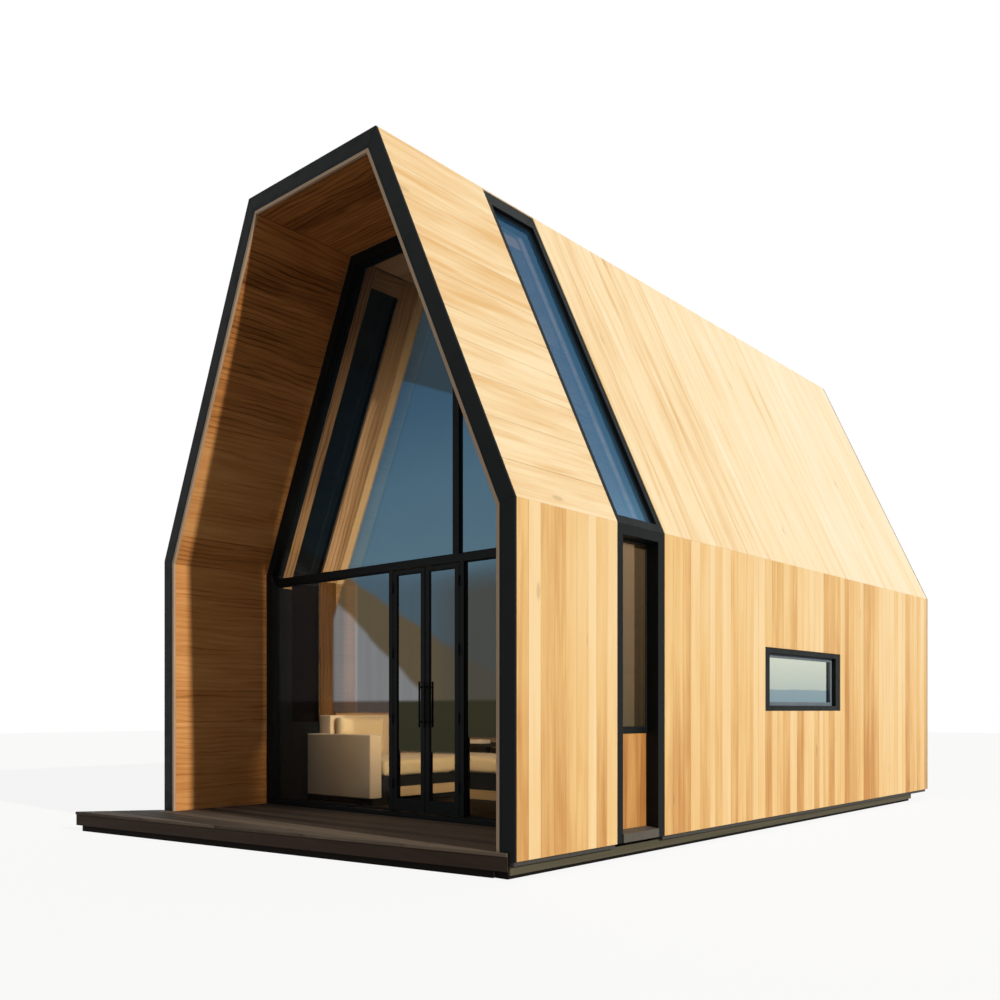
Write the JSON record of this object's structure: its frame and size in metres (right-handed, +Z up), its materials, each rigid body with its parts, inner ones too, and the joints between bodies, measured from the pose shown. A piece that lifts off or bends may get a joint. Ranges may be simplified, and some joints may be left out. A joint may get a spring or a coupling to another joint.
{
  "type": "a-frame cabin",
  "caption": "Timber cabin with upright side walls, steep slopes and a narrow flat top, a covered porch, a recessed glazed wall with hinged leaves, side windows and glazed strips.",
  "frame": {"origin": "centre of the footprint under the shell, on the ground", "axes": "+X to the right seen from the front, +Y from the open front to the closed rear, +Z up"},
  "size_m": [5.116, 9.214, 5.81],
  "materials": {
    "cladding_wood": "oiled vertical boards of varied tone",
    "roof_wood": "oiled boards laid down the slope",
    "lining_wood": "oiled inner boarding",
    "panel_core": "dark coated structural panel",
    "black_metal": "satin black powder coat",
    "clear_glass": "lightly reflective clear glass",
    "sill_metal": "light grey painted sheet",
    "deck_wood": "weathered grey-brown boards",
    "fascia_wood": "dark brown stained board",
    "base_wood": "dark stained timber",
    "sofa_fabric": "woven beige upholstery",
    "cushion_fabric": "woven cream upholstery",
    "table_wood": "oiled dark timber"
  },
  "bodies": {
    "cabin": {"chassis_beams": "base_wood", "chassis_cross_members": "base_wood", "skirting_boards": "base_wood", "cabin_floor": "deck_wood", "deck_boards": "deck_wood", "deck_fascia": "fascia_wood", "deck_bearer": "base_wood", "deck_joists": "base_wood", "wall_panels": "panel_core", "window_bay_panels": "panel_core", "roof_panels": "panel_core", "top_panel": "panel_core", "rear_panel": "panel_core", "wall_cladding": "cladding_wood", "roof_cladding": "roof_wood", "top_cladding": "roof_wood", "rear_cladding": "cladding_wood", "wall_lining": "lining_wood", "roof_lining": "lining_wood", "ceiling_lining": "lining_wood", "rear_lining": "lining_wood", "edge_posts": "black_metal", "edge_rafters": "black_metal", "edge_heads": "black_metal", "glazing_posts": "black_metal", "glazing_rafters": "black_metal", "glazing_rails": "black_metal", "transom": "black_metal", "mullions": "black_metal", "front_glass": "clear_glass", "roof_strip_frames": "black_metal", "roof_strip_glass": "clear_glass", "wall_strip_frames": "black_metal", "wall_strip_glass": "clear_glass", "wall_strip_panels": "lining_wood", "strip_sills": "sill_metal", "window_frames": "black_metal", "window_glass": "clear_glass", "sofa": "sofa_fabric", "sofa_cushions": "cushion_fabric", "low_table": "table_wood"},
    "left_leaf": {"left_door_frame": "black_metal", "left_door_glass": "clear_glass"},
    "right_leaf": {"right_door_frame": "black_metal", "right_door_glass": "clear_glass"}
  },
  "joints": [
    {"name": "left_leaf_hinge", "type": "hinge", "parent": "cabin", "child": "left_leaf", "pos_m": [-0.191, -3.135, 1.3715], "axis": [0, 0, -1], "range_deg": [0, 100]},
    {"name": "right_leaf_hinge", "type": "hinge", "parent": "cabin", "child": "right_leaf", "pos_m": [0.673, -3.135, 1.3715], "axis": [0, 0, 1], "range_deg": [0, 100]}
  ]
}
